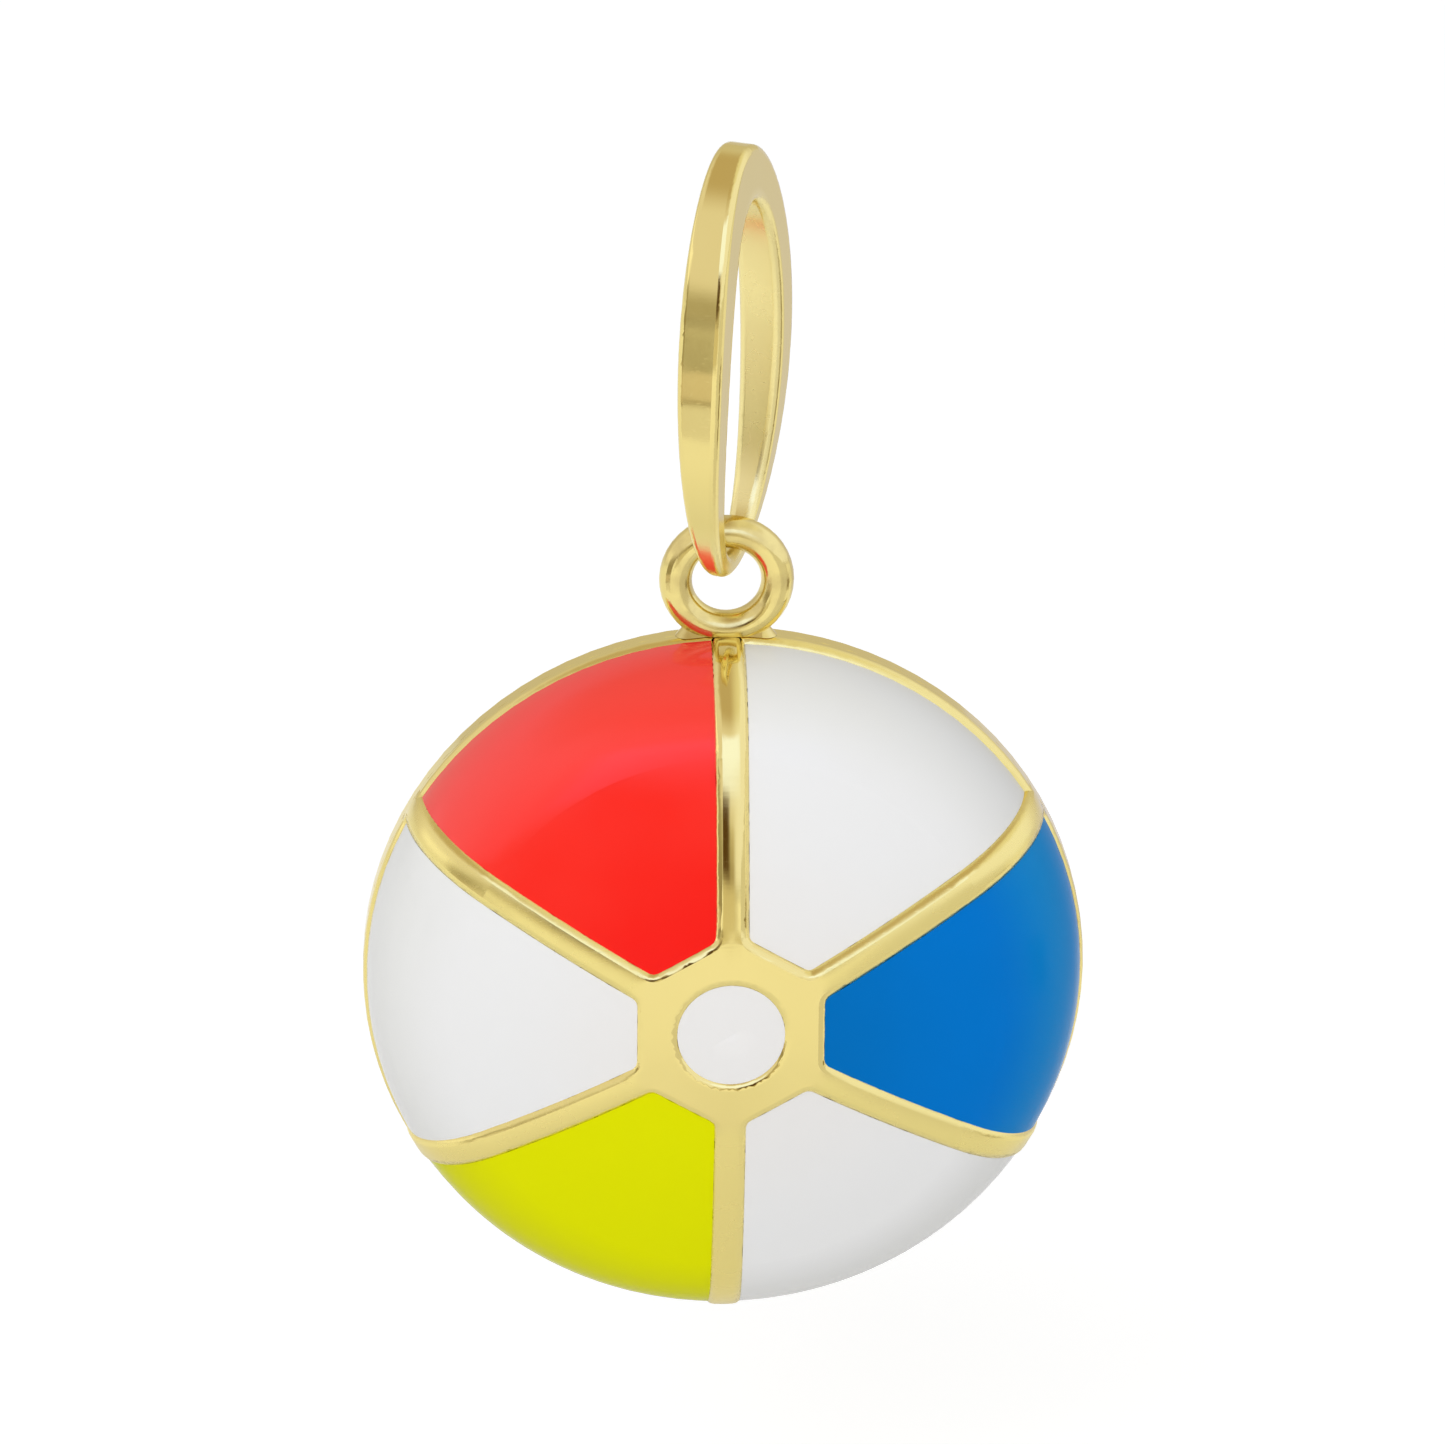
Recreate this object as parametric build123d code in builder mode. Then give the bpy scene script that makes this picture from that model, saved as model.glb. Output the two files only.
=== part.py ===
"""Enamelled beach-ball charm hanging from an oval bail.

Millimetres. +Z is up, the enamelled face looks towards -Y, and the origin is the
chain seat: the inner top of the bail, where a chain runs through it.
"""

import os
from math import acos, cos, degrees, hypot, radians, sin, sqrt, tan

from build123d import *

# Domed body
body_radius = 7.5
crown_radius = 16.2
shoulder_radius = 2.7
lip_height = 0.05
plate_thickness = 0.4
plate_edge_radius = 0.1
vent_radius = 0.45
vent_drop = 4.0

# Gold ribs and the enamel cells between them
rim_height = 0.33
rib_width = 0.76
hub_apothem = 1.97
button_radius = 1.04
cell_depth = 0.45
cell_corner_radius = 0.15
rib_edge_radius = 0.2
floor_thickness = 0.5
enamel_drop = 0.06
low_enamel_drop = 0.12

# Loop soldered to the top of the body, and the solder that spreads round its foot
loop_wire_radius = 0.34
loop_hole_radius = 0.71
solder_depth = 0.23
loop_setback = 0.02
solder_width = 2.1
solder_thickness = 0.64
solder_height = 0.27
solder_slope = 40

# Oval bail; the offsets say how far its band bows to the right of the loop's middle
bail_height = 9.33
bail_depth = 4.42
bail_crown_thickness = 1.2
bail_thickness = 0.76
bail_tip_thickness = 0.5
bail_width = 0.94
bail_top_width = 0.7
bail_tip_width = 0.38
bail_waist_offset = 0.14
bail_top_offset = 0.12
bail_foot_offset = -0.04
bail_edge_radius = 0.16
bail_inner_edge_radius = 0.18
bail_twist = 23
hang_clearance = 0.045

# Enamel panels, counter-clockwise from the right, and how far each lies below the gold
panel_drops = {
    "enamel_blue": enamel_drop,
    "enamel_white_upper": low_enamel_drop,
    "enamel_red": enamel_drop,
    "enamel_white_left": enamel_drop,
    "enamel_yellow": enamel_drop,
    "enamel_white_lower": enamel_drop,
}
panel_step = 360 / len(panel_drops)

# How close to the dome's skin an edge must run to count as lying in it
skin_tolerance = 1e-4

# Dome: a shoulder arc that runs tangent into a crown arc, above a short straight wall
wall_top = plate_thickness + lip_height
arc_offset = crown_radius - shoulder_radius
shoulder_centre = body_radius - shoulder_radius
crown_centre = wall_top - sqrt(arc_offset**2 - shoulder_centre**2)
tangent_angle = degrees(acos(shoulder_centre / arc_offset))
dome_height = crown_centre + crown_radius
cell_floor = plate_thickness + rim_height
cavity_inset = cell_depth + floor_thickness

# Rims of the cells are rounded as far as the ribs and the outer rim have room
rounding = min(rib_edge_radius, rib_width / 3, rim_height * 3 / 4)

# Bail: its inner oval, and how high the loop's wire sits in the foot of that oval
inner_height = bail_height - bail_crown_thickness - bail_tip_thickness
inner_half_height = inner_height / 2
inner_half_depth = bail_depth / 2 - bail_thickness
twist_cos = cos(radians(bail_twist))
edge_shift = bail_tip_width / 2 * tan(radians(bail_twist))


def wire_rest_height(steps=60):
    """Height of the loop's wire centre above the foot of the bail's inner oval.

    The wire crosses the twisted bail askew, so its section there is an ellipse, and at
    the bail's edges that ellipse is shifted and hangs lower as the loop curves away.
    The wire rests where it first touches.
    """
    half_height = loop_wire_radius + hang_clearance
    half_depth = half_height / twist_cos
    loop_sag = loop_hole_radius - sqrt(loop_hole_radius**2 - (bail_tip_width / 2) ** 2)
    highest = 0
    for step in range(steps + 1):
        slope = radians(90 * step / steps)
        reach = half_depth * sin(slope) + edge_shift
        oval_rise = inner_half_height * (1 - sqrt(max(1 - (reach / inner_half_depth) ** 2, 0)))
        highest = max(highest, oval_rise + half_height * cos(slope))
    return highest + loop_sag


# Places, from the chain seat down
loop_middle_radius = loop_hole_radius + loop_wire_radius
loop_outer_radius = loop_middle_radius + loop_wire_radius
loop_drop = inner_height - wire_rest_height() + loop_middle_radius
loop_rise = body_radius - solder_depth + loop_outer_radius
loop_depth = loop_wire_radius + loop_setback
loop_centre = Vector(0, 0, -loop_drop)
loop_plan = Plane(origin=loop_centre, x_dir=(1, 0, 0), z_dir=(0, 0, -1))
solder_base = sqrt(body_radius**2 - (solder_width / 2) ** 2) - loop_rise
body_centre = loop_centre + Vector(0, loop_depth, -loop_rise)

face = Plane(origin=body_centre, x_dir=(1, 0, 0), z_dir=(0, -1, 0))
first_rib = face.rotated((0, -panel_step / 2, 0)).x_dir
section = Plane(origin=body_centre, x_dir=first_rib, z_dir=first_rib.cross(face.z_dir))
body_axis = Axis(body_centre, (0, -1, 0))
bail_side = Plane.YZ.rotated((0, 0, -bail_twist))
bail_front = Plane(origin=(0, 0, 0), x_dir=bail_side.z_dir, z_dir=-bail_side.x_dir)


def dome_section(inset, base=0.0):
    """Half section of the dome from a base depth, set in from its skin."""
    with BuildSketch(section) as half:
        with BuildLine():
            Line((0, base), (body_radius - inset, base))
            Line((body_radius - inset, base), (body_radius - inset, wall_top))
            CenterArc((shoulder_centre, wall_top), shoulder_radius - inset, 0, tangent_angle)
            CenterArc((0, crown_centre), crown_radius - inset, tangent_angle, 90 - tangent_angle)
            Line((0, dome_height - inset), (0, base))
        make_face()
    return half.sketch


def panel_outline(angle, margin=0.0):
    """Wedge between two ribs, cut square by the hub, facing an angle round the hub.

    A margin widens it on every side and starts it that much lower.
    """
    with BuildSketch(face.offset(cell_floor - margin).rotated((0, -angle, 0))) as outline:
        half_angle = radians(panel_step / 2)
        apothem = hub_apothem - margin
        tip = (rib_width / 2 - margin) / sin(half_angle)
        reach = body_radius * sqrt(2)
        near = (apothem - tip) * tan(half_angle)
        far = (reach - tip) * tan(half_angle)
        with BuildLine():
            Polyline(
                (apothem, -near),
                (reach, -far),
                (reach, far),
                (apothem, near),
                close=True,
            )
        make_face()
        fillet(outline.vertices().group_by(Axis.X)[0], radius=cell_corner_radius + margin)
    return outline.sketch


def button_outline(margin=0.0):
    """Round cell at the hub, widened and started lower by a margin."""
    with BuildSketch(face.offset(cell_floor - margin)) as outline:
        Circle(button_radius + margin)
    return outline.sketch


def cell_space(outline):
    """Room over the cells' floor, inside an outline that is carried forward."""
    with BuildPart() as space:
        extrude(outline, amount=dome_height)
        revolve(dome_section(cell_depth), axis=body_axis, mode=Mode.SUBTRACT)
    return space.part


def enamel_fill(outline, drop):
    """Enamel that fills its cell, up over the rounded rims, to a little below the gold."""
    with BuildPart() as fill:
        add(cell_space(outline))
        revolve(dome_section(drop), axis=body_axis, mode=Mode.INTERSECT)
        add(dome_casting.part, mode=Mode.SUBTRACT)
    return fill.part


def inset_at(point):
    """How far a point lies under the dome's skin."""
    spot = face.to_local_coords(point)
    radius = hypot(spot.X, spot.Y)
    if radius * arc_offset > shoulder_centre * crown_radius:
        return shoulder_radius - hypot(radius - shoulder_centre, spot.Z - wall_top)
    return crown_radius - hypot(radius, spot.Z - crown_centre)


def cell_rims(casting):
    """Edges where the walls of the cells come out through the dome's skin."""
    cut = casting.faces().filter_by(GeomType.PLANE) + casting.faces().filter_by(GeomType.CYLINDER)
    walls = [wall for wall in cut if face.to_local_coords(wall.center()).Z > wall_top]
    edges = ShapeList(edge for wall in walls for edge in wall.edges())
    return edges.filter_by(lambda edge: abs(inset_at(edge @ 0.5)) < skin_tolerance)


def finish(piece, name):
    """Label a finished piece and write it to its own file."""
    piece.label = name
    export_step(piece, f"parts/{name}.step")


os.makedirs("parts", exist_ok=True)
panel_angles = {name: panel_step * place for place, name in enumerate(panel_drops)}

# Hollow casting with the cells sunk in its front
with BuildPart() as dome_casting:
    revolve(dome_section(0, plate_thickness), axis=body_axis)
    revolve(dome_section(cavity_inset, plate_thickness), axis=body_axis, mode=Mode.SUBTRACT)
    for angle in panel_angles.values():
        add(cell_space(panel_outline(angle)), mode=Mode.SUBTRACT)
    add(cell_space(button_outline()), mode=Mode.SUBTRACT)
    fillet(cell_rims(dome_casting), radius=rounding)
finish(dome_casting.part, "dome_casting")

# Enamel in its cells
for name, angle in panel_angles.items():
    finish(enamel_fill(panel_outline(angle, rounding), panel_drops[name]), name)
finish(enamel_fill(button_outline(rounding), enamel_drop), "enamel_button")

# Flat back with its vent
with BuildPart() as back_plate:
    with BuildSketch(face) as disc:
        Circle(body_radius)
        with Locations((0, -vent_drop)):
            Circle(vent_radius, mode=Mode.SUBTRACT)
    extrude(amount=plate_thickness)
    back_rim = back_plate.faces().sort_by(Axis.Y)[-1].outer_wire().edges()
    fillet(back_rim, radius=plate_edge_radius)
finish(back_plate.part, "back_plate")

# Loop and its solder, coped to the wall that they sit on
with BuildPart() as hanging_loop:
    with BuildSketch(loop_plan) as wire:
        with Locations((loop_middle_radius, 0)):
            Circle(loop_wire_radius)
    revolve(axis=Axis(loop_centre, (0, -1, 0)))
    with BuildSketch(loop_plan.offset(-solder_base)) as solder:
        SlotOverall(solder_width, solder_thickness)
    extrude(amount=-solder_height, taper=solder_slope)
    revolve(dome_section(0), axis=body_axis, mode=Mode.SUBTRACT)
finish(hanging_loop.part, "hanging_loop")

# Bail: an oval hoop, thickest at its crown, whose band is widest at its waist
with BuildPart() as bail:
    with BuildSketch(bail_side.offset(-bail_width)) as hoop:
        with Locations((0, bail_crown_thickness - bail_height / 2)):
            Ellipse(bail_depth / 2, bail_height / 2)
        with Locations((0, -inner_half_height)):
            Ellipse(inner_half_depth, inner_half_height, mode=Mode.SUBTRACT)
    extrude(amount=2 * bail_width)
    with BuildSketch(bail_front) as band:
        top = bail_crown_thickness
        foot = bail_crown_thickness - bail_height
        waist = (top + foot) / 2
        with BuildLine():
            right_edge = ThreePointArc(
                (bail_top_offset + bail_top_width / 2, top),
                (bail_waist_offset + bail_width / 2, waist),
                (bail_foot_offset + bail_tip_width / 2, foot),
            )
            left_edge = ThreePointArc(
                (bail_top_offset - bail_top_width / 2, top),
                (bail_waist_offset - bail_width / 2, waist),
                (bail_foot_offset - bail_tip_width / 2, foot),
            )
            Line(left_edge @ 0, right_edge @ 0)
            Line(left_edge @ 1, right_edge @ 1)
        make_face()
    extrude(amount=bail_depth, both=True, mode=Mode.INTERSECT)
    inner_wall = bail.faces().filter_by(GeomType.EXTRUSION).sort_by(SortBy.AREA)[0]
    fillet(inner_wall.edges(), radius=bail_inner_edge_radius)
    outer_wall = bail.faces().filter_by(GeomType.EXTRUSION).sort_by(SortBy.AREA)[-1]
    fillet(outer_wall.edges(), radius=bail_edge_radius)
finish(bail.part, "bail")
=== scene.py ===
from collections import namedtuple
from math import cos, pi, radians, sin

import bmesh
import bpy
from mathutils import Matrix, Vector


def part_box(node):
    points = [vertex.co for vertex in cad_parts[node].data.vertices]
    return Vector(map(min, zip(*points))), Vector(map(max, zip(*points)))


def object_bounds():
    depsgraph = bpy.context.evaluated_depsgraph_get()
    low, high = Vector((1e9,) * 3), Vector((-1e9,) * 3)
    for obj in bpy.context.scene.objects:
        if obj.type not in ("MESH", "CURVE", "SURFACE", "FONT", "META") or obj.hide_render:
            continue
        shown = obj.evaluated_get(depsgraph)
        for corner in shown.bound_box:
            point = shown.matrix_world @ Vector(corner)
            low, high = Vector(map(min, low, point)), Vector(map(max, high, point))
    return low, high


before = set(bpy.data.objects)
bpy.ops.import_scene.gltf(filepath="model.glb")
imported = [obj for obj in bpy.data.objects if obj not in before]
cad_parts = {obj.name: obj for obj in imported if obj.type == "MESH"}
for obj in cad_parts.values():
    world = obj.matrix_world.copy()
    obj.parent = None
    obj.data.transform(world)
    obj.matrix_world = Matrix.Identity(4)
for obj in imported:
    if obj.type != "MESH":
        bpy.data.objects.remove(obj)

# --- Places, all from the frame ------------------------------------------------------

cad_low, cad_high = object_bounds()
plate_low, plate_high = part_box("back_plate")
_, right_cell_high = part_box("enamel_blue")
body_radius = (plate_high.x - plate_low.x) / 2
rear_centre = Vector(((plate_low.x + plate_high.x) / 2, plate_high.y, (plate_low.z + plate_high.z) / 2))

# Patterns are laid out in millimetres, and the cells reach this far from the body's axis
MM = 0.001
cell_reach = (right_cell_high.x - rear_centre.x) / MM

# --- Shader expressions --------------------------------------------------------------


class Wire:
    """An output socket; arithmetic on it adds Math nodes."""

    def __init__(self, nodes, socket):
        self.nodes = nodes
        self.socket = socket

    def __add__(self, other):
        return self.nodes.math("ADD", self, other)

    def __sub__(self, other):
        return self.nodes.math("SUBTRACT", self, other)

    def __rsub__(self, other):
        return self.nodes.math("SUBTRACT", other, self)

    def __mul__(self, other):
        return self.nodes.math("MULTIPLY", self, other)

    def __truediv__(self, other):
        return self.nodes.math("DIVIDE", self, other)

    def __rtruediv__(self, other):
        return self.nodes.math("DIVIDE", other, self)

    __radd__ = __add__
    __rmul__ = __mul__


class Nodes:
    """The nodes of a material or of the world."""

    # The Mix node's outputs share one name, and this one is the colour
    MIXED_COLOUR = 2

    def __init__(self, tree):
        self.tree = tree
        self.tree.nodes.clear()

    def add(self, kind, settings=None, inputs=None, output=0):
        """Add a node: its settings first, then the values or links of its sockets."""
        node = self.tree.nodes.new(kind)
        for name, value in (settings or {}).items():
            setattr(node, name, value)
        sockets = [socket for socket in node.inputs if socket.enabled]
        named = {socket.name: socket for socket in sockets}
        for key, value in (inputs or {}).items():
            socket = sockets[key] if isinstance(key, int) else named[key]
            if isinstance(value, Wire):
                self.tree.links.new(value.socket, socket)
            else:
                socket.default_value = value
        return Wire(self, node.outputs[output]) if node.outputs else None

    def math(self, operation, *values):
        """One number worked out from others."""
        return self.add("ShaderNodeMath", {"operation": operation}, dict(enumerate(values)))

    def vector(self, operation, *values, output="Vector"):
        """Vector Math; output is "Value" where the operation gives one number."""
        return self.add("ShaderNodeVectorMath", {"operation": operation}, dict(enumerate(values)), output)

    def part(self, vector, axis):
        """A vector's part along one axis."""
        return self.add("ShaderNodeSeparateXYZ", None, {"Vector": vector}, axis)

    def flattened(self, vector):
        """A vector without its part along Z."""
        return self.vector("MULTIPLY", vector, (1, 1, 0))

    def ramp(self, value, low, high, to_low=0.0, to_high=1.0):
        """Value mapped smoothly from one range to another, and held at its ends."""
        settings = {"interpolation_type": "SMOOTHSTEP"}
        inputs = {"Value": value, "From Min": low, "From Max": high, "To Min": to_low, "To Max": to_high}
        return self.add("ShaderNodeMapRange", settings, inputs)

    def mix(self, factor, first, second):
        """Two colours mixed."""
        inputs = {"Factor": factor, "A": first, "B": second}
        return self.add("ShaderNodeMix", {"data_type": "RGBA"}, inputs, self.MIXED_COLOUR)


class Finish(Nodes):
    """A material, with places on it in millimetres."""

    def __init__(self, name):
        self.material = bpy.data.materials.new(name)
        self.material.use_nodes = True
        super().__init__(self.material.node_tree)
        self.place = self.vector("SCALE", self.add("ShaderNodeTexCoord", output="Object"), 1 / MM)

    def stretched(self, turn, stretch):
        """Place, turned and then stretched along each axis."""
        inputs = {"Vector": self.place, "Rotation": turn, "Scale": stretch}
        return self.add("ShaderNodeMapping", None, inputs)

    def noise(self, scale, detail, place=None):
        """Smooth noise from 0 to 1, with a scale in cycles per millimetre."""
        inputs = {"Vector": place or self.place, "Scale": scale, "Detail": detail}
        return self.add("ShaderNodeTexNoise", None, inputs)

    def bump(self, height):
        """Normal of a surface raised by a height in millimetres."""
        return self.add("ShaderNodeBump", None, {"Height": height, "Distance": MM, "Strength": 1.0})

    def surface(self, **sockets):
        """End the material in one shader and return it."""
        inputs = {name.replace("_", " "): value for name, value in sockets.items()}
        shader = self.add("ShaderNodeBsdfPrincipled", None, inputs)
        self.add("ShaderNodeOutputMaterial", None, {"Surface": shader})
        return self.material


def colour(red, green, blue):
    return (red, green, blue, 1.0)


# The two ranges in which most of a noise lies, the narrower one for harder edges
NOISE_SPREAD = (0.3, 0.7)
NOISE_MIDDLE = (0.35, 0.65)

# --- Gold ----------------------------------------------------------------------------

# The casting, in millimetres from the body's axis, with a rib every sixth of a turn. Each edge is a
# range over which one finish blends into the next.
RIB_TURN = pi / 3
RIB_HALF_WIDTH = 0.36
RIB_CROWN_RADIUS = 1.2
HUB_EDGE = (2.0, 2.4)
TOP_RIB_EDGE = (0.45, 0.6)
CELL_EDGE = (cell_reach, cell_reach + 0.1)

# The bail's inner oval, in millimetres, with its top at the origin; its turn is in degrees
INNER_HALF_DEPTH = 1.45
INNER_HALF_HEIGHT = 3.815
INNER_BOTTOM = -2 * INNER_HALF_HEIGHT
BAIL_TURN = 23.0

# The inner wall ends between two ovals that are so many times as large as the inner one
WALL_EDGE = (1.03, 1.10)

# The foot is partly brushed; below its top it swells by so much times the square of the drop
FOOT_BRUSHED = 0.8
FOOT_EDGE = (INNER_BOTTOM + 0.2, INNER_BOTTOM + 1.3)
FOOT_TOP = -6.3
FOOT_SWELL = 0.1

GOLD_TONES = (colour(0.86, 0.71, 0.26), colour(0.88, 0.735, 0.285))
WORN_GOLD = colour(0.66, 0.52, 0.2)
BRUSHED_BAIL_GOLD = colour(0.94, 0.81, 0.36)
BRUSHED_RIB_GOLD = colour(0.90, 0.755, 0.275)

# Hairlines run along one slanting direction, in which they are stretched
HAIRLINE_TURN = (0.3, 0.5, 0.4)
HAIRLINE_STRETCH = (0.6, 14.0, 14.0)
HAIRLINE_HEIGHT = 0.02
SCRATCH_EDGE = (0.62, 0.72)
RIPPLE_HEIGHT = 0.012

POLISHED_ROUGHNESS = (0.07, 0.12)
SCRATCH_ROUGHNESS = 0.05
BRUSHED_ROUGHNESS = 0.17
WORN_ROUGHNESS = 0.2


def from_body_axis(finish):
    """Places across and up from the body's axis, and the distance from it, in millimetres."""
    across = finish.part(finish.place, "X")
    up = finish.part(finish.place, "Z") - rear_centre.z / MM
    return across, up, finish.math("SQRT", across * across + up * up)


def rib_crown(finish):
    """Height, in millimetres, of the rounded polish of the ribs: 0 along their middles, and less beside."""
    across, up, radius = from_body_axis(finish)
    turn = finish.math("ARCTAN2", across, up)
    from_rib = finish.math("FLOORED_MODULO", turn + RIB_TURN / 2, RIB_TURN) - RIB_TURN / 2
    offset = finish.math("ABSOLUTE", radius * finish.math("SINE", from_rib))
    offset = finish.math("MINIMUM", offset, RIB_HALF_WIDTH)
    return offset * offset / (-2 * RIB_CROWN_RADIUS) * finish.ramp(radius, *HUB_EDGE)


def brushed_ribs(finish):
    """1 on the brushed ribs, and 0 on the hub, the rim and the top rib, which are bright."""
    across, up, radius = from_body_axis(finish)
    beside = finish.ramp(finish.math("ABSOLUTE", across), *TOP_RIB_EDGE)
    below = finish.ramp(up, *HUB_EDGE, 1.0, 0.0)
    within_rim = finish.ramp(radius, *CELL_EDGE, 1.0, 0.0)
    return finish.math("MAXIMUM", beside, below) * within_rim * finish.ramp(radius, *HUB_EDGE)


def bail_foot(finish):
    """Height, in millimetres, that the bail's foot swells by towards its tip."""
    drop = finish.math("MAXIMUM", FOOT_TOP - finish.part(finish.place, "Z"), 0.0)
    return drop * drop * FOOT_SWELL


def bail_inside(finish):
    """1 on the inner wall of the bail, which the polishing wheel doesn't reach; less at its foot."""
    depth_axis = (sin(radians(BAIL_TURN)), cos(radians(BAIL_TURN)), 0)
    height = finish.part(finish.place, "Z")
    out = finish.vector("DOT_PRODUCT", finish.place, depth_axis, output="Value") / INNER_HALF_DEPTH
    up = height / INNER_HALF_HEIGHT + 1
    wall = finish.ramp(finish.math("SQRT", out * out + up * up), *WALL_EDGE, 1.0, 0.0)
    return finish.math("MAXIMUM", wall, finish.ramp(height, *FOOT_EDGE, FOOT_BRUSHED, 0.0))


def polished_gold(name, shape=None, brushed=None, brushed_tone=None, wear=0.0):
    """Gold with haze, a faint ripple and fine hairlines.

    shape gives a height to add, and brushed says where the gold is brushed to its own tone.
    wear, from 0 to 1, mottles and dulls it.
    """
    finish = Finish(name)
    haze = finish.noise(scale=0.7, detail=3.0)
    ripple = finish.noise(scale=0.55, detail=1.0)
    mottle = finish.noise(scale=1.8, detail=3.0)
    along = finish.stretched(HAIRLINE_TURN, HAIRLINE_STRETCH)
    hairlines = finish.noise(scale=1.0, detail=2.0, place=along)
    height = (ripple + hairlines * HAIRLINE_HEIGHT + mottle * wear) * RIPPLE_HEIGHT
    roughness = finish.ramp(haze, *NOISE_SPREAD, *POLISHED_ROUGHNESS)
    roughness = roughness + finish.ramp(hairlines, *SCRATCH_EDGE) * SCRATCH_ROUGHNESS
    tone = finish.mix(haze, *GOLD_TONES)
    if shape:
        height = height + shape(finish)
    if brushed:
        mask = brushed(finish)
        roughness = roughness + mask * BRUSHED_ROUGHNESS
        tone = finish.mix(mask, tone, brushed_tone)
    if wear:
        worn = finish.ramp(mottle, *NOISE_MIDDLE, 0.0, wear)
        roughness = roughness + worn * WORN_ROUGHNESS
        tone = finish.mix(worn, tone, WORN_GOLD)
    return finish.surface(Base_Color=tone, Metallic=1.0, Roughness=roughness, Normal=finish.bump(height))


# --- Enamel --------------------------------------------------------------------------

# How much of the deep colour shows at the hub, fading out at a distance, and in the clouds
DEEP_AT_HUB = 0.85
DEEP_REACH = 5.0
DEEP_IN_CLOUDS = 0.15

# Where the glaze thins and where its gloss grows towards the rim
THIN_EDGE = (cell_reach - 1.8, cell_reach - 0.2)
COAT_EDGE = (cell_reach - 2.4, cell_reach - 0.4)

GLAZE_ROUGHNESS = (0.10, 0.16)
COAT_ROUGHNESS = 0.12
SWELL_HEIGHT = 0.016


def enamel(name, base, deep, thin, gloss, coat):
    """Fired glaze: deeper towards the hub, thinner and glassier towards the rim of the body."""
    finish = Finish(name)
    cloud = finish.noise(scale=0.45, detail=2.0)
    swell = finish.noise(scale=0.36, detail=1.0)
    grain = finish.noise(scale=1.2, detail=3.0)
    _, _, radius = from_body_axis(finish)
    depth = finish.ramp(radius, HUB_EDGE[0], DEEP_REACH, DEEP_AT_HUB, 0.0)
    depth = depth + finish.ramp(cloud, *NOISE_MIDDLE, 0.0, DEEP_IN_CLOUDS)
    return finish.surface(
        Base_Color=finish.mix(finish.ramp(radius, *THIN_EDGE), finish.mix(depth, base, deep), thin),
        Roughness=finish.ramp(grain, *NOISE_SPREAD, *GLAZE_ROUGHNESS),
        Specular_IOR_Level=gloss,
        Coat_Weight=finish.ramp(radius, *COAT_EDGE, 0.0, coat),
        Coat_Roughness=COAT_ROUGHNESS,
        Normal=finish.bump(swell * SWELL_HEIGHT),
    )


# --- Finishes of the pieces ----------------------------------------------------------

plate_gold = polished_gold("polished_gold")
bail_gold = polished_gold("bail_gold", bail_foot, bail_inside, BRUSHED_BAIL_GOLD)
ring_gold = polished_gold("ring_gold", wear=0.6)
ribbed_gold = polished_gold("ribbed_gold", rib_crown, brushed_ribs, BRUSHED_RIB_GOLD)
red = enamel(
    "red_glaze",
    base=colour(0.94, 0.026, 0.017),
    deep=colour(0.92, 0.009, 0.006),
    thin=colour(0.94, 0.05, 0.037),
    gloss=0.09,
    coat=1.0,
)
white = enamel(
    "white_glaze",
    base=colour(0.82, 0.82, 0.82),
    deep=colour(0.815, 0.80, 0.785),
    thin=colour(0.80, 0.80, 0.78),
    gloss=0.12,
    coat=0.4,
)
blue = enamel(
    "blue_glaze",
    base=colour(0.001, 0.175, 0.60),
    deep=colour(0.001, 0.155, 0.50),
    thin=colour(0.003, 0.25, 0.63),
    gloss=0.02,
    coat=0.12,
)
yellow = enamel(
    "yellow_glaze",
    base=colour(0.74, 0.76, 0.001),
    deep=colour(0.74, 0.76, 0.001),
    thin=colour(0.71, 0.72, 0.001),
    gloss=0.02,
    coat=0.05,
)

finishes = {
    "bail": bail_gold,
    "hanging_loop": ring_gold,
    "dome_casting": ribbed_gold,
    "back_plate": plate_gold,
    "enamel_red": red,
    "enamel_white_upper": white,
    "enamel_blue": blue,
    "enamel_white_lower": white,
    "enamel_yellow": yellow,
    "enamel_white_left": white,
    "enamel_button": white,
}
for node_name, material in finishes.items():
    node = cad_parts[node_name]
    node.data.materials.clear()
    node.data.materials.append(material)

# --- The studio that the gold mirrors ------------------------------------------------

# A patch of the studio lies so many degrees to the right of the front, with half its width and the
# softness of its sides in degrees too. It comes in over the range starts and goes out over the range
# ends. On the floor these are distances in millimetres; in the sky, rises from 0 to 1 overhead.
Patch = namedtuple("Patch", "shade turn half soft starts ends", defaults=(None, None))

# The card to the front left lies on the floor in bands of several shades, and stands up behind it
LEFT_CARD = {"turn": -58, "half": 17, "soft": 2}
LYING_CARD = Patch(colour(0.82, 0.80, 0.80), **LEFT_CARD, starts=(46, 49))
LYING_CARD_BANDS = {
    (69.5, 70.5): colour(0.30, 0.24, 0.14),
    (73.5, 74.5): colour(0.70, 0.62, 0.55),
    (112, 114): colour(0.37, 0.33, 0.25),
}
STANDING_CARD = Patch(colour(0.44, 0.40, 0.31), **LEFT_CARD, ends=(0.04, 0.16))

FLOOR_PATCHES = [
    Patch(colour(0.74, 0.68, 0.55), turn=-10, half=20, soft=8, starts=(95, 140)),
    Patch(colour(0.76, 0.75, 0.76), turn=48, half=24, soft=8, starts=(12, 30)),
    Patch(colour(0.30, 0.24, 0.14), turn=78, half=9, soft=4, starts=(40, 50), ends=(85, 95)),
    Patch(colour(0.72, 0.71, 0.84), turn=138, half=24, soft=8, starts=(30, 50)),
]

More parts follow.
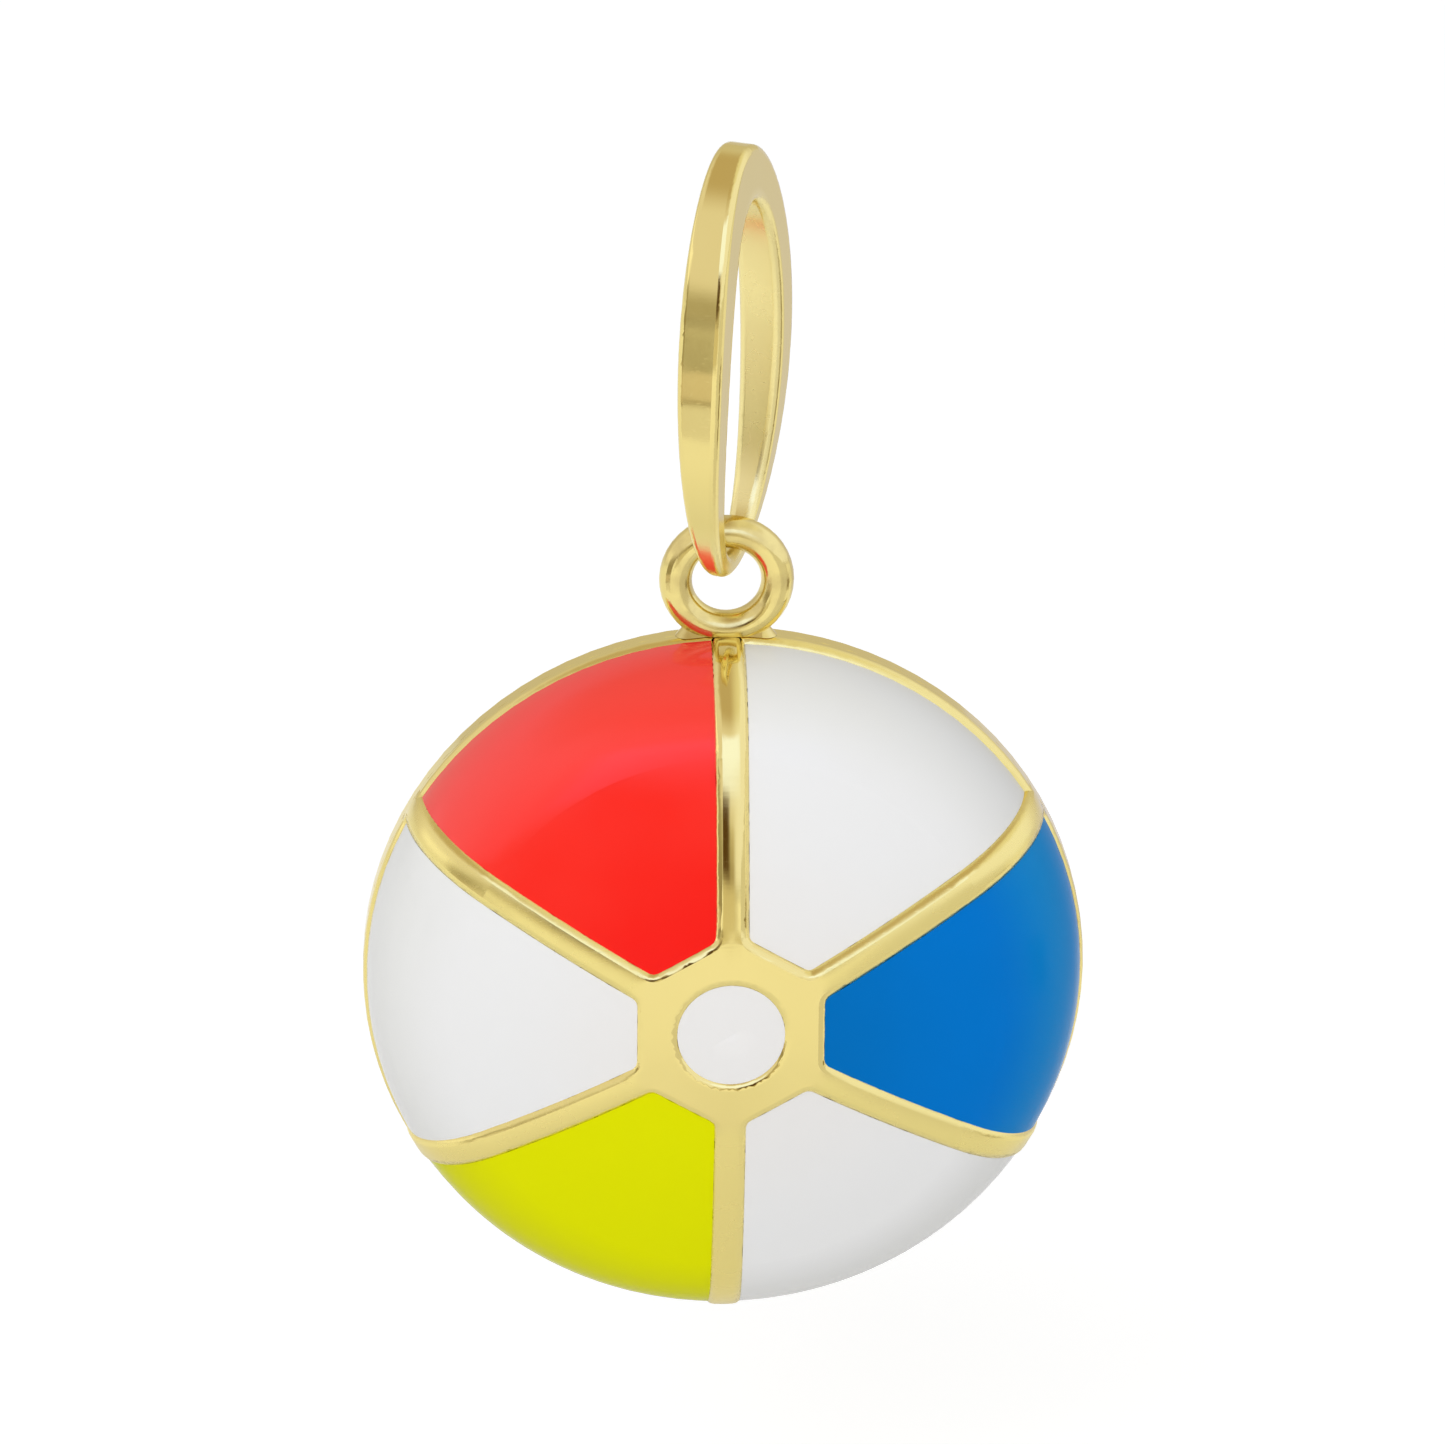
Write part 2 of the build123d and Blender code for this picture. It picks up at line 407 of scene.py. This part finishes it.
WINDOW = Patch(colour(1.15, 1.15, 1.2), turn=-92, half=22, soft=8, starts=(0.01, 0.07), ends=(0.21, 0.27))
LAMP = Patch(colour(1.12, 1.28, 2.0), turn=-3, half=26, soft=8, starts=(0.20, 0.28), ends=(0.56, 0.64))
DARK = Patch(colour(0.10, 0.05, 0.01), turn=-10, half=7.5, soft=4, starts=(-0.03, 0.03), ends=(0.195, 0.255))

# A band over the horizon is lighter at its top
BAND = Patch(colour(0.66, 0.60, 0.46), turn=-16, half=24, soft=4, ends=(0.10, 0.20))
BAND_FOOT = colour(0.44, 0.38, 0.28)
BAND_RISE = (0.0, 0.18)

# Walls and ceiling, each from left to right, and the wall behind. Each edge is the range over which one
# takes over from the other, along X for the right, along Z for the ceiling and along Y for the back.
WALL_SHADES = (colour(0.86, 0.83, 0.88), colour(1.0, 1.03, 1.22))
CEILING_SHADES = (colour(0.58, 0.48, 0.35), colour(0.88, 0.86, 0.78))
BACK_SHADE = colour(0.66, 0.62, 0.55)
RIGHT_EDGE = (0.0, 0.35)
CEILING_EDGE = (0.60, 0.88)
BACK_EDGE = (0.3, 0.9)


def patch_mask(nodes, level, reach, patch):
    """1 on a patch, from the level direction and the distance or rise."""
    from_front = (sin(radians(patch.turn)), -cos(radians(patch.turn)), 0)
    near = nodes.vector("DOT_PRODUCT", level, from_front, output="Value")
    mask = nodes.ramp(near, cos(radians(patch.half + patch.soft)), cos(radians(patch.half - patch.soft)))
    if patch.starts:
        mask = mask * nodes.ramp(reach, *patch.starts)
    if patch.ends:
        mask = mask * nodes.ramp(reach, *patch.ends, 1.0, 0.0)
    return mask


def floor_patches(finish, level, distance):
    """Shade of the patches on the floor, and a mask that is 1 on them."""
    shade = LYING_CARD.shade
    for edge, next_shade in LYING_CARD_BANDS.items():
        shade = finish.mix(finish.ramp(distance, *edge), shade, next_shade)
    cover = patch_mask(finish, level, distance, LYING_CARD)
    for patch in FLOOR_PATCHES:
        mask = patch_mask(finish, level, distance, patch)
        shade = finish.mix(mask, shade, patch.shade)
        cover = finish.math("MAXIMUM", cover, mask)
    return shade, cover


def room_shade(sky, direction):
    """Shade of the walls, the ceiling and the patches on them."""
    level = sky.vector("NORMALIZE", sky.flattened(direction))
    rise = sky.part(direction, "Z")
    right = sky.ramp(sky.part(direction, "X"), *RIGHT_EDGE)
    walls = sky.mix(right, *WALL_SHADES)
    ceiling = sky.mix(right, *CEILING_SHADES)
    room = sky.mix(sky.ramp(rise, *CEILING_EDGE), walls, ceiling)
    room = sky.mix(sky.ramp(sky.part(direction, "Y"), *BACK_EDGE), room, BACK_SHADE)
    band_shade = sky.mix(sky.ramp(rise, *BAND_RISE), BAND_FOOT, BAND.shade)
    room = sky.mix(patch_mask(sky, level, rise, BAND), room, band_shade)
    for patch in (WINDOW, LAMP, DARK, STANDING_CARD):
        room = sky.mix(patch_mask(sky, level, rise, patch), room, patch.shade)
    return room


# --- Stage ---------------------------------------------------------------------------

FLOOR_DROP = 8.0 * MM
FLOOR_HALF = 1.5
PAPER = colour(0.8, 0.8, 0.8)
AMBIENT = 0.52

# The floor's own glow to the eye, which grows over a range of distances in millimetres
NEAR_GLOW = 0.465
FAR_GLOW = 0.60
FAR_EDGE = (110, 700)

# Its glow in the gold, which is less in a pool of painted shadow under the charm
MIRROR_GLOW = 0.33
PAINTED_SHADOW_SHARE = 0.45
PAINTED_SHADOW_EDGE = (4, 40)


def make_floor():
    """White paper that keeps the charm's shadow; only the gold shows its patches."""
    mesh = bpy.data.meshes.new("floor")
    under_charm = Matrix.Translation((0, 0, cad_low.z - FLOOR_DROP))
    sheet = bmesh.new()
    bmesh.ops.create_grid(sheet, x_segments=1, y_segments=1, size=FLOOR_HALF, matrix=under_charm)
    sheet.to_mesh(mesh)
    sheet.free()
    floor = bpy.data.objects.new("floor", mesh)
    bpy.context.scene.collection.objects.link(floor)
    finish = Finish("pale_floor")
    flat = finish.flattened(finish.place)
    level = finish.vector("NORMALIZE", flat)
    distance = finish.vector("LENGTH", flat, output="Value")
    seen = finish.add("ShaderNodeLightPath", output="Is Camera Ray")
    mirrored = finish.add("ShaderNodeLightPath", output="Is Glossy Ray")
    pale = finish.ramp(distance, *FAR_EDGE, NEAR_GLOW, FAR_GLOW)
    # Painted shadow: the floor's glow in the gold is dimmed in a pool under the charm
    painted_shadow = finish.ramp(distance, *PAINTED_SHADOW_EDGE, PAINTED_SHADOW_SHARE, 1.0)
    paper = finish.add("ShaderNodeBsdfDiffuse", None, {"Color": PAPER})
    glow = finish.add("ShaderNodeEmission", None, {"Color": seen * pale + mirrored * painted_shadow * MIRROR_GLOW})
    white_paper = finish.add("ShaderNodeAddShader", None, {0: paper, 1: glow})
    shade, cover = floor_patches(finish, level, distance)
    card = finish.add("ShaderNodeEmission", None, {"Color": shade})
    both = finish.add("ShaderNodeMixShader", None, {0: mirrored * cover, 1: white_paper, 2: card})
    finish.add("ShaderNodeOutputMaterial", None, {"Surface": both})
    mesh.materials.append(finish.material)


def make_world():
    """Plain ambient light, white behind the charm; only the gold shows the room."""
    world = bpy.data.worlds.new("studio")
    bpy.context.scene.world = world
    world.use_nodes = True
    sky = Nodes(world.node_tree)
    seen = sky.add("ShaderNodeLightPath", output="Is Camera Ray")
    mirrored = sky.add("ShaderNodeLightPath", output="Is Glossy Ray")
    plain = sky.add("ShaderNodeBackground", None, {"Color": AMBIENT + seen * (1 - AMBIENT)})
    shade = room_shade(sky, sky.add("ShaderNodeTexCoord", output="Generated"))
    room = sky.add("ShaderNodeBackground", None, {"Color": shade})
    both = sky.add("ShaderNodeMixShader", None, {0: mirrored, 1: plain, 2: room})
    sky.add("ShaderNodeOutputWorld", None, {"Surface": both})


def softbox(name, place, size, watts):
    """Square lamp that faces the body, and that the polish doesn't mirror."""
    light = bpy.data.lights.new(name, "AREA")
    light.size = size
    light.energy = watts
    lamp = bpy.data.objects.new(name, light)
    aim = rear_centre - Vector(place)
    turn = aim.to_track_quat("-Z", "Y").to_matrix().to_4x4()
    lamp.matrix_world = Matrix.Translation(place) @ turn
    lamp.visible_glossy = False
    bpy.context.scene.collection.objects.link(lamp)


make_floor()
make_world()
softbox("front_fill", place=(-0.14, -0.33, 0.19), size=0.4, watts=1.04)
softbox("right_fill", place=(0.33, -0.13, 0.05), size=0.3, watts=0.18)

# --- Camera --------------------------------------------------------------------------

CAMERA_TILT = radians(23.9)
CAMERA_YAW = radians(2.86)
CAMERA_ROLL = radians(0.5)
CAMERA_DISTANCE = 30 * body_radius
AIM_RISE = 0.6539 * body_radius
LENS = 268.6
CLIP_START = 0.01


def make_camera():
    """Long lens that looks down on the enamelled face from a little to the left of it."""
    # The rows of the turn are the camera's own right, ahead and up
    turn = (
        Matrix.Rotation(CAMERA_ROLL, 3, "Y")
        @ Matrix.Rotation(CAMERA_TILT, 3, "X")
        @ Matrix.Rotation(CAMERA_YAW, 3, "Z")
    )
    right, ahead, up = turn
    place = rear_centre - ahead * CAMERA_DISTANCE
    ahead = (rear_centre + up * AIM_RISE - place).normalized()
    up = right.cross(ahead)
    data = bpy.data.cameras.new("camera")
    data.lens = LENS
    data.clip_start = CLIP_START
    camera = bpy.data.objects.new("camera", data)
    axes = Matrix((right, up, -ahead)).transposed()
    camera.matrix_world = Matrix.Translation(place) @ axes.to_4x4()
    bpy.context.scene.collection.objects.link(camera)
    bpy.context.scene.camera = camera


make_camera()
bpy.context.scene.view_settings.view_transform = "Standard"
